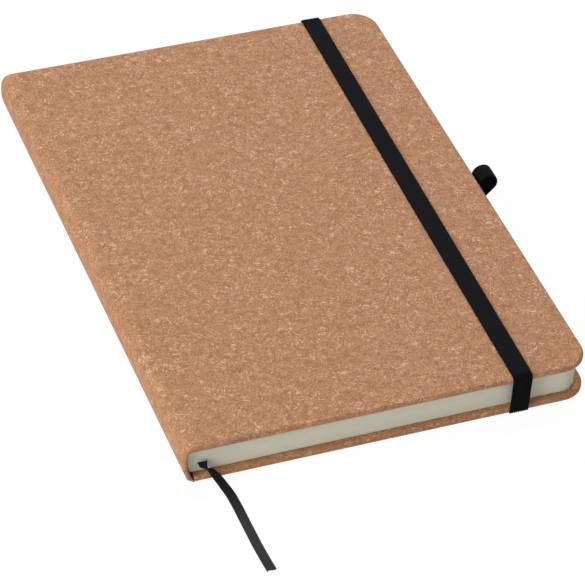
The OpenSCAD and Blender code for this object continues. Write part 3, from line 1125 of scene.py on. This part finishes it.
@dataclass
class PenLoop:
    """The pen loop: a narrow elastic that leaves the back cover, goes round a pen and comes back."""

    finishes: Finishes
    width: float = 7.0
    thickness: float = 0.8
    leg: float = 0.6
    radius: float = 3.9
    centre: tuple[float, float] = (151.5, 13.8)
    leg_start: float = 133.5
    roots: tuple[float, float] = (145.0, 145.8)
    cords: int = 7
    groove: float = 0.09
    leg_groove: float = 0.01
    leg_clear: float = 0.02
    foot_h: float = 0.1
    leg_from: float = 0.2
    leg_to: float = 1.2
    step: float = 0.12
    round_reach: float = 0.4
    head_points: int = 61
    section_points: int = 71
    flat_keep: float = 0.15

    def path(self) -> Array:
        """Gives the centreline in X and Z: along the upper leg, round the head and along the lower leg.

        The straight sides are the tangents from the roots to the circle: their heading is that of the centre,
        turned by the arc sine of radius over distance.

        Returns:
            Points of shape (n, 2), in millimetres.
        """
        middle = np.array(self.centre)
        r = self.radius - self.thickness / 2
        upper = BOOK.cover_t - self.leg / 2
        lower = BOOK.cover_t - 1.5 * self.leg
        sides = []
        for root, turn in zip(self.roots, (1, -1)):
            foot = np.array([root, BOOK.cover_t])
            away = middle - foot
            heading = math.atan2(away[1], away[0]) + turn * math.asin(r / np.linalg.norm(away))
            sides.append(math.degrees(heading) + 90 * turn)
        head = arc(self.centre, r, sides[0], sides[1], self.head_points)
        foot_z = BOOK.cover_t + self.foot_h
        first = [[self.leg_start, upper], [self.roots[0], upper], [self.roots[0], foot_z]]
        last = [[self.roots[1], foot_z], [self.roots[1], lower], [self.leg_start, lower]]
        return np.concatenate([first, head, last])

    def build(self) -> bpy.types.Object:
        """Builds the loop as one closed strip.

        Returns:
            The loop's object.
        """
        path = rounded(self.path(), self.step, self.round_reach)
        in_leg = 1 - smooth_step(path[:, 1], BOOK.cover_t - self.leg_from, BOOK.cover_t + self.leg_to)
        thickness = self.thickness - (self.thickness - self.leg + self.leg_clear) * in_leg
        section = WovenSection(self.width, self.thickness, self.cords, self.section_points)
        heights = section.height(thickness, self.groove * (1 - in_leg) + self.leg_groove)
        centre, outward = (np.insert(flat, 1, 0.0, axis=1) for flat in (path, flat_normals(path)))
        vertices, weave = sweep(centre, np.array([0.0, 1.0, 0.0]), outward, section, heights)
        loop = make_piece("pen_holder_loop", BOOK.in_frame(vertices), weave)
        self.finishes.dress(loop, Slot.ELASTIC)
        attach(loop, Body.BACK.value)
        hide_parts("pen_loop")
        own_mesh(loop)
        return loop


@dataclass
class RibbonMarker:
    """The satin ribbon: out of the tail of the pages, half a turn over, and flat on to its cut end."""

    finishes: Finishes
    width: float = BOOK.ribbon_w
    thickness: float = 0.26
    exit_x: float = 5.3
    seat: float = 6.0
    route: tuple[tuple[float, float, float], ...] = (
        (0, 0, 6.4), (0.5, -1.5, 6.3), (1.4, -2.9, 5.7), (2.5, -4.3, 4.7), (3.6, -5.7, 3.5),
        (4.5, -7.2, 2.4), (5.2, -8.8, 1.5), (5.9, -10.8, 0.9), (6.3, -13, 0.5), (6.5, -15.6, 0.3),
        (6.65, -19, 0.2), (6.65, -23, 0.2), (6.7, -27.5, 0.2), (6.75, -32, 0.2), (6.8, -36.5, 0.2),
        (7, -41, 0.2), (7.2, -45, 0.2), (7.5, -48.5, 0.2),
    )
    step: float = 0.4
    round_reach: float = 1.2
    twist_from: float = 0.3
    twist_length: float = 8.0
    cup: float = 0.9
    cup_rise: tuple[float, float] = (0.2, 1.5)
    cup_fall: tuple[float, float] = (2.2, 7.0)
    selvedge_from: float = 0.6
    selvedge_to: float = 0.3
    selvedge_thinner: float = 0.25
    cut_reach: float = 2.5
    cut_waves: tuple[tuple[float, float, float], ...] = ((0.22, 2.1, 0.0), (0.12, 7.3, 1.0))
    section_points: int = 25

    def path(self) -> Array:
        """Gives the centreline, from inside the pages to the cut end, as a rounded path through the route."""
        exit_point = np.array([self.exit_x, -(BOOK.half_h - BOOK.square_w), 0.0])
        outside = np.array(self.route) + exit_point
        inside = outside[0] + np.array([[0, self.seat, 0], [0, self.seat / 2, 0]])
        return rounded(np.concatenate([inside, outside]), self.step, self.round_reach)

    def cross_heights(self, section: WovenSection, walked: Array) -> Array:
        """Gives the heights of the section: thinner selvedges, and cupped where the ribbon turns over.

        The cup adds its depth times 1 - (2 u / w) squared, which rises and falls smoothly along the ribbon.

        Args:
            section: The ribbon's section.
            walked: Distance along the ribbon at each ring.

        Returns:
            Signed heights of shape (rings, points).
        """
        u = section.across()
        half = self.width / 2
        body = smooth_step(np.abs(u), half - self.selvedge_from, half - self.selvedge_to)
        flat = section.height(np.full(len(walked), self.thickness), np.zeros(len(walked)))
        outside = walked - self.seat
        crumpled = smooth_step(outside, *self.cup_rise) * (1 - smooth_step(outside, *self.cup_fall))
        bowed = self.cup * crumpled[:, None] * (1 - (2 * u / self.width) ** 2)[None]
        return flat * (1 - self.selvedge_thinner * (1 - body)) + bowed

    def build(self) -> bpy.types.Object:
        """Returns:
            The ribbon's object.
        """
        path = self.path()
        walked = length_along(path)
        way = directions(path)
        level = unit(np.cross(way, [0.0, 0.0, 1.0]))
        up = np.cross(level, way)
        left = 1 - np.clip((walked - self.seat - self.twist_from) / self.twist_length, 0, 1)
        roll = -np.pi * (1 - left**3)[:, None]
        sideways = level * np.cos(roll) + up * np.sin(roll)
        normals = up * np.cos(roll) - level * np.sin(roll)
        section = WovenSection(self.width, self.thickness, 1, self.section_points)
        vertices, weave = sweep(path, sideways, normals, section, self.cross_heights(section, walked))
        last = smooth_step(walked, walked[-1] - self.cut_reach, walked[-1])[:, None]
        u = section.across()
        cut = sum(deep * np.sin(turns * u + start) for deep, turns, start in self.cut_waves)
        vertices = vertices + (last * cut[None, :])[..., None] * way[:, None]
        ribbon = make_piece("marker_ribbon", BOOK.in_frame(vertices), weave)
        self.finishes.dress(ribbon, Slot.RIBBON)
        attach(ribbon, Body.BLOCK.value)
        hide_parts("ribbon_marker")
        LOG.info("ribbon %.1f mm long", walked[-1])
        return ribbon


# Paper and sheet pieces


@dataclass
class PageStack:
    """The sewn pages: a stack of leaves with trimmed edges, each a hair longer or shorter than the next, and
    with painted shade where the leaves meet.
    """

    finishes: Finishes
    leaves: int = 96
    section_leaves: int = 8
    leaf_gap: float = 0.15
    back_reach: float = 10.0
    uneven: float = 0.02
    waves: tuple[tuple[float, float], ...] = ((0.02, 23.0), (0.012, 7.5))
    trim_depth: float = 0.03
    groove_share: float = 0.6
    sewn_share: float = 0.03
    leaf_tone: float = 0.6
    # Painted shade: added to the stored value in the groove where two leaves meet.
    groove_tone: float = 0.28
    tail_points: int = 46
    corner_points: int = 15
    fore_points: int = 48
    spine_points: int = 9
    seed: int = 7

    def outline(self) -> tuple[Array, Array]:
        """Gives the outline seen from above and its outward normals, as arrays of shape (points, 2)."""
        left, right = 0.0, BOOK.cover_w + BOOK.cover_lean / 2 - BOOK.square_w
        end, r = BOOK.half_h - BOOK.square_w, BOOK.corner_r - BOOK.square_w
        tail_x = np.linspace(left, right - r, self.tail_points)
        tail = np.stack([tail_x, np.full(self.tail_points, -end)], axis=-1)
        corner = arc([right - r, -end + r], r, -90, 0, self.corner_points)[1:-1]
        fore_y = np.linspace(-end + r, end - r, self.fore_points)
        fore = np.stack([np.full(self.fore_points, right), fore_y], axis=-1)
        spine_y = np.linspace(end, -end, self.spine_points + 2)[1:-1]
        spine = np.stack([np.full(self.spine_points, left), spine_y], axis=-1)
        points = np.concatenate([tail, corner, fore, (corner * [1, -1])[::-1], (tail * [1, -1])[::-1], spine])
        way = unit(np.roll(points, -1, axis=0) - np.roll(points, 1, axis=0))
        return points, quarter_turned(way)

    def build(self) -> bpy.types.Object:
        """Builds the stack: the outline at the face of each leaf and in the groove to the next.

        The trim of a leaf at a distance s along the edge is a random step for the leaf, two slow waves that
        change from section to section, and the depth of the groove where two leaves meet.

        Returns:
            The object.
        """
        chance = np.random.default_rng(self.seed)
        points, normals = self.outline()
        s = length_along(points)
        leaf = np.repeat(np.arange(self.leaves), 2)
        depth = np.tile([0.0, 1.0], self.leaves)
        pitch = (BOOK.pages_top - BOOK.pages_bottom) / self.leaves
        heights = BOOK.pages_bottom + (leaf + self.leaf_gap + (1 - 2 * self.leaf_gap) * depth) * pitch
        heights[0], heights[-1] = BOOK.pages_bottom, BOOK.pages_top
        step = chance.uniform(-self.uneven, 0.0, self.leaves)[leaf]
        section = leaf // self.section_leaves
        phase = chance.uniform(0, 2 * np.pi, (section.max() + 1, len(self.waves)))[section]
        starts = np.moveaxis(phase[..., None], 1, 0)
        wave = sum(high * np.sin(s[None] / long + start) for (high, long), start in zip(self.waves, starts))
        sewn = self.sewn_share * (leaf % self.section_leaves == 0)
        groove = self.trim_depth * (depth * self.groove_share + sewn)
        trim = np.minimum(step[:, None] + wave - self.trim_depth - groove[:, None], 0.0)
        flat = points[None] + normals[None] * trim[..., None]
        near_back = np.clip(1 - points[:, 0] / self.back_reach, 0, 1)
        flat[..., 0] += BOOK.back_of_pages(heights)[:, None] * near_back[None]
        z = np.broadcast_to(heights[:, None, None], flat.shape[:2] + (1,))
        vertices = np.concatenate([flat, z], axis=-1)
        # Each leaf's own random tone, plus painted shade that darkens the groove where two leaves meet.
        shade = chance.uniform(0, 1, self.leaves)[leaf] * self.leaf_tone + self.groove_tone * depth
        tone = np.broadcast_to(shade[:, None], flat.shape[:2])
        stack = make_piece("page_stack", BOOK.in_frame(vertices), tone=tone)
        self.finishes.dress(stack, Slot.PAGES)
        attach(stack, Body.BLOCK.value)
        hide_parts("text_block")
        return stack


class Side(Enum):
    """The two covers: Z of the outer face, way to the pages, the joint's radius and the cover's start."""

    FRONT = (BOOK.book_t, -1.0, 4.0, 2.056)
    BACK = (0.0, 1.0, 2.6, 2.054)

    @property
    def face(self) -> float:
        """Z of the cover's outer face."""
        return self.value[0]

    @property
    def inward(self) -> float:
        """1 if the pages lie above the cover's outer face, and -1 if they lie below it."""
        return self.value[1]

    @property
    def joint_r(self) -> float:
        """Radius of the joint's arc."""
        return self.value[2]

    @property
    def start_x(self) -> float:
        """X at which the cover starts."""
        return self.value[3]

    @property
    def spine_centre(self) -> Array:
        """The spine's centre as X and the depth under the cover's outer face."""
        return np.array([BOOK.spine_centre[0], (BOOK.spine_centre[1] - self.face) * self.inward])

    @property
    def turn(self) -> float:
        """Angle in degrees at which the joint's arc touches the spine's arc, counted from -X."""
        return math.degrees(math.asin((self.spine_centre[1] - self.joint_r) / (BOOK.spine_r - self.joint_r)))

    @property
    def joint_centre(self) -> Array:
        """Centre of the joint's arc as X and depth."""
        return arc(self.spine_centre, BOOK.spine_r - self.joint_r, 180 + self.turn, 0, 1)[0]

    def place(self, points: Array) -> Array:
        """Turns points of X and depth into X and Z."""
        return points * [1.0, self.inward] + [0.0, self.face]

    def blend(self, piece: bpy.types.Object, start: Array, end: Array) -> None:
        """Bakes the piece's transform into its mesh; the points at the book block and at the cover, as X and
        depth, are turned into X and Z but not used.
        """
        ends = self.place(np.array([start, end]))
        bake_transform(piece)


def bow(start: Array, corner: Array, end: Array) -> Array:
    """Gives a quadratic Bezier curve, which leaves the start towards the corner and ends coming from it."""
    t = np.linspace(0, 1, ARC_POINTS)[:, None]
    return (1 - t) ** 2 * start + 2 * t * (1 - t) * corner + t**2 * end


def strip(name: str, outer: Array, inner: Array, stations: Array) -> bpy.types.Object:
    """Makes a closed strip along Y from an outer and an inner line that may change along it.

    Args:
        name: Name of the new object.
        outer: Outer line as X and Z in millimetres, of shape (points, 2), or one for each station.
        inner: Inner line, of the same shape.
        stations: Y of each station.

    Returns:
        The new object.
    """
    ring = np.concatenate([outer, inner[..., ::-1, :]], axis=-2)
    ring = np.broadcast_to(ring, (len(stations), *ring.shape[-2:]))
    y = np.broadcast_to(stations[:, None], ring.shape[:2])
    return make_piece(name, BOOK.in_frame(np.stack([ring[..., 0], y, ring[..., 1]], axis=-1)))


@dataclass
class JointSheet:
    """The covering across a joint: it bends round the spine's corner, and head and tail are rounded off."""

    finishes: Finishes
    side: Side
    thick_from: float = 103.2
    thick_over: float = 0.4
    edge_reach: float = 1.5
    edge_points: int = 9
    plain_y: tuple[float, ...] = (95.0, 80.0, 60.0, 40.0, 20.0)
    points: int = 25
    foot_points: int = 9
    tuck: float = 0.2
    clear: float = 0.03

    def lines(self) -> tuple[Array, Array, Array]:
        """Gives the outer line, the inner line of the bare sheet and that of the turned-in end.

        Depths count from the cover's outer face towards the pages. At the back cover the outer line is
        tucked in: it leaves the spine along its arc and ends at the cover. At the front cover the turned-in
        end thickens towards the cover, so that it meets the cover's inner face.

        Returns:
            Three arrays of shape (points, 2).
        """
        side, wall, sheet = self.side, BOOK.spine_wall, BOOK.sheet_t
        centre, r, turn, end = side.joint_centre, side.joint_r, 180 + side.turn, side.start_x
        if side is Side.FRONT:
            outer = np.concatenate([arc(centre, r, turn, 270, ARC_POINTS), [[end, 0.0]]])
            bare = np.concatenate([arc(centre, r - sheet, turn, 270, ARC_POINTS), [[end, sheet]]])
            last = np.array([end, BOOK.cover_t - self.clear])
            first = arc(centre, r - wall, turn, 270, 2)[0]
            deep = bow(first, np.array([first[0], last[1]]), last)
        else:
            first = arc(centre, r, turn, 270, 2)[0]
            slope = math.radians(side.turn)
            down = self.tuck * r * np.array([math.sin(slope), -math.cos(slope)])
            outer = bow(first, first + down, np.array([end, 0.0]))
            bare = outer - flat_normals(outer) * sheet
            inside = BOOK.spine_r - wall
            foot = 180 + math.degrees(math.asin((side.spine_centre[1] - 2 * sheet) / inside))
            under_spine = arc(side.spine_centre, inside, turn, foot, self.foot_points)
            deep = np.concatenate([under_spine, [[end, 2 * sheet]]])
        shares = np.linspace(0, 1, self.points)
        outer, bare, deep = (resample(line, shares * length_along(line)[-1]) for line in (outer, bare, deep))
        return outer, bare, deep

    def build(self) -> bpy.types.Object:
        """Builds the sheet.

        Within a radius r of head and tail the outer and the inner line close in on each other as a rounded
        edge: at a distance d from the end, each comes nearer by r less the root of r squared less (r - d)
        squared, as a share of the spine's wall.

        Returns:
            The object.
        """
        outer, bare, deep = self.lines()
        r, half = BOOK.spine_edge_r, BOOK.half_h
        thin_to = self.thick_from - self.thick_over
        edge = half - r * (1 - np.cos(np.linspace(0, np.pi / 2, self.edge_points)))
        upper = np.concatenate([edge, [half - self.edge_reach, self.thick_from, thin_to], self.plain_y])
        stations = np.concatenate([-upper, [0.0], upper[::-1]])
        thick = smooth_step(np.abs(stations), thin_to, self.thick_from)[:, None, None]
        inner = bare[None] + (deep - bare)[None] * thick
        left = np.clip(half - np.abs(stations), 0, r)
        close = (r - np.sqrt(r**2 - (r - left) ** 2)) / BOOK.spine_wall
        between = (inner - outer[None]) * close[:, None, None]
        front = self.side is Side.FRONT
        name = "front_joint_sheet" if front else "back_joint_sheet"
        over, under = self.side.place(outer[None] + between), self.side.place(inner - between)
        sheet = strip(name, over, under, stations)
        self.finishes.dress(sheet, Slot.LEATHER)
        middle = (outer + deep) / 2
        self.side.blend(sheet, middle[0], middle[-1])
        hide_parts("front_joint_covering" if front else "back_joint_covering")
        return sheet


@dataclass
class EndpaperFold:
    """The fold of an endpaper: it joins the flyleaf on the pages to the pastedown in the cover."""

    finishes: Finishes
    side: Side
    slack: float = 0.02
    bend_points: int = 15
    stations: int = 31

    def build(self) -> bpy.types.Object:
        """Builds the fold: a sheet that runs to the spine on the pages, turns back and goes on to the cover.

        Returns:
            The object.
        """
        low = BOOK.cover_t + BOOK.paper_t / 2
        high = BOOK.pages_bottom - BOOK.paper_t / 2
        r = (high - low) / 2
        depth = self.side.spine_centre[1] - BOOK.pages_bottom
        x = BOOK.spine_centre[0] - math.sqrt(BOOK.pages_r**2 - depth**2)
        bend = arc([x - self.slack, low + r], r, 90, 270, self.bend_points)
        middle = np.concatenate([[[x, high]], bend, [[self.side.start_x, low]]])
        half = flat_normals(middle) * BOOK.paper_t / 2
        stations = np.linspace(-1, 1, self.stations) * (BOOK.half_h - BOOK.paste_margin)
        name = "front_endpaper_fold" if self.side is Side.FRONT else "back_endpaper_fold"
        fold = strip(name, self.side.place(middle + half), self.side.place(middle - half), stations)
        self.finishes.dress(fold, Slot.ENDPAPER)
        self.side.blend(fold, np.array([0.0, high - self.slack]), np.array([0.0, low + self.slack]))
        return fold


@dataclass
class SpineStrip:
    """The card inside the rounded spine."""

    finishes: Finishes
    points: int = 9
    stations: int = 25

    def build(self) -> bpy.types.Object:
        """Builds the strip between the two joints of the spine.

        Returns:
            The object.
        """
        stations = np.linspace(-1, 1, self.stations) * (BOOK.half_h - BOOK.sheet_t)
        first, last = 180 - Side.FRONT.turn, 180 + Side.BACK.turn
        outside = BOOK.spine_r - BOOK.sheet_t
        radii = (outside, outside - BOOK.card_t)
        outer, inner = (arc(BOOK.spine_centre, r, first, last, self.points) for r in radii)
        card = strip("spine_card_strip", outer, inner, stations)
        self.finishes.dress(card, Slot.GREYBOARD)
        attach(card, Body.BLOCK.value)
        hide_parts("spine_card")
        return card


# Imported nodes, stage and camera


@dataclass
class PackedNodes:
    """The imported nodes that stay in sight, and the slot of each."""

    finishes: Finishes
    nodes: dict[str, bpy.types.Object]
    slots: dict[str, Slot] = field(default_factory=lambda: {
        "spine_lining": Slot.GREYBOARD, "front_board": Slot.GREYBOARD, "back_board": Slot.GREYBOARD,
        "front_flyleaf": Slot.ENDPAPER, "back_flyleaf": Slot.ENDPAPER,
        "front_pastedown": Slot.ENDPAPER, "back_pastedown": Slot.ENDPAPER,
        "front_covering": Slot.LEATHER, "back_covering": Slot.LEATHER, "spine_covering": Slot.LEATHER,
    })

    def build(self) -> list[bpy.types.Object]:
        """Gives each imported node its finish.

        Returns:
            The dressed nodes.
        """
        for name, slot in self.slots.items():
            self.finishes.dress(self.nodes[name], slot)
        return [self.nodes[name] for name in self.slots]


@dataclass(frozen=True)
class Lamp:
    """A large soft lamp that looks at the book."""

    name: str
    place: tuple[float, float, float]
    size: float
    power: float

    def build(self) -> bpy.types.Object:
        """Builds the lamp.

        Returns:
            The lamp's object.
        """
        data = bpy.data.lights.new(self.name, "AREA")
        data.shape, data.size, data.energy = "SQUARE", self.size, self.power
        lamp = bpy.data.objects.new(self.name, data)
        lamp.location = self.place
        away = np.array(self.place)
        heading = math.atan2(away[0], -away[1])
        tilt = math.acos(away[2] / np.linalg.norm(away))
        lamp.rotation_euler = Euler((tilt, 0.0, heading))
        bpy.context.scene.collection.objects.link(lamp)
        return lamp


@dataclass
class Studio:
    """Floor, world, lamps and camera. Its lengths are metres, and the lens and its sensor are millimetres."""

    lamps: tuple[Lamp, ...] = (
        Lamp("left_softbox", (-1.20, -0.45, 0.72), 0.9, 17.0),
        Lamp("back_softbox", (0.25, 1.05, 1.35), 1.2, 19.0),
        Lamp("tail_softbox", (-0.35, -1.30, 0.60), 1.0, 2.4),
    )
    ambient: float = 0.14
    floor_half: float = 6.0
    floor_drop: float = 0.00005
    camera_place: tuple[float, float, float] = (-0.358016, -0.840533, 0.778457)
    camera_turn: tuple[float, float, float] = (48.68650, -3.29160, -20.45100)
    lens: float = 202.70
    sensor: float = 36.0
    clip: tuple[float, float] = (0.05, 50.0)

    def build(self) -> None:
        """Builds the stage and sets the scene's camera and view."""
        self._floor()
        self._world()
        for lamp in self.lamps:
            lamp.build()
        self._camera()

    def _floor(self) -> None:
        """Lays a plane just under the book."""
        half, low = self.floor_half, -self.floor_drop
        square = [(-half, -half, low), (half, -half, low), (half, half, low), (-half, half, low)]
        mesh = bpy.data.meshes.new("studio_floor")
        mesh.from_pydata(square, [], [(0, 1, 2, 3)])
        floor = bpy.data.objects.new("studio_floor", mesh)
        mesh.materials.append(StudioFloor().build())
        bpy.context.scene.collection.objects.link(floor)

    def _world(self) -> None:
        """Makes the world dim for the light that it gives and white where it is looked at."""
        world = bpy.data.worlds.new("studio_world")
        world.use_nodes = True
        graph = Graph(world.node_tree)
        strength = graph.map(graph.looked_at(), 0.0, 1.0, self.ambient, 1.0)
        background = graph.add("ShaderNodeBackground", Color=WHITE, Strength=strength)
        graph.add("ShaderNodeOutputWorld", Surface=background.outputs[0])
        bpy.context.scene.world = world

    def _camera(self) -> None:
        """Sets the camera at the photograph's viewing angle."""
        data = bpy.data.cameras.new("photo_camera")
        data.sensor_width, data.lens = self.sensor, self.lens
        data.clip_start, data.clip_end = self.clip
        camera = bpy.data.objects.new("photo_camera", data)
        camera.location = self.camera_place
        camera.rotation_euler = Euler([math.radians(a) for a in self.camera_turn])
        bpy.context.scene.collection.objects.link(camera)
        bpy.context.scene.camera = camera
        bpy.context.scene.view_settings.view_transform = "Standard"


def corners(bounds: tuple[Sequence[float], Sequence[float]]) -> list[list[float]]:
    """Turns a pair of corners into plain lists of numbers."""
    return [[float(x) for x in corner] for corner in bounds]


def main() -> None:
    """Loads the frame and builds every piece."""
    logging.basicConfig(level=logging.INFO, format="%(name)s: %(message)s")
    for leftover in list(bpy.data.objects):
        bpy.data.objects.remove(leftover)
    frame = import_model()
    Studio().build()
    finishes = Finishes()
    builders = [
        *(kind(finishes) for kind in (RibbonMarker, PageStack, ElasticBand, PenLoop, SpineStrip)),
        *(kind(finishes, side) for kind in (JointSheet, EndpaperFold) for side in Side),
    ]
    for node in PackedNodes(finishes, frame["nodes"]).build():
        LOG.info("node %s: %d faces", node.name, len(node.data.polygons))
    for builder in builders:
        piece = builder.build()
        LOG.info("piece %s: %d faces", piece.name, len(piece.data.polygons))


if __name__ == "__main__":
    main()
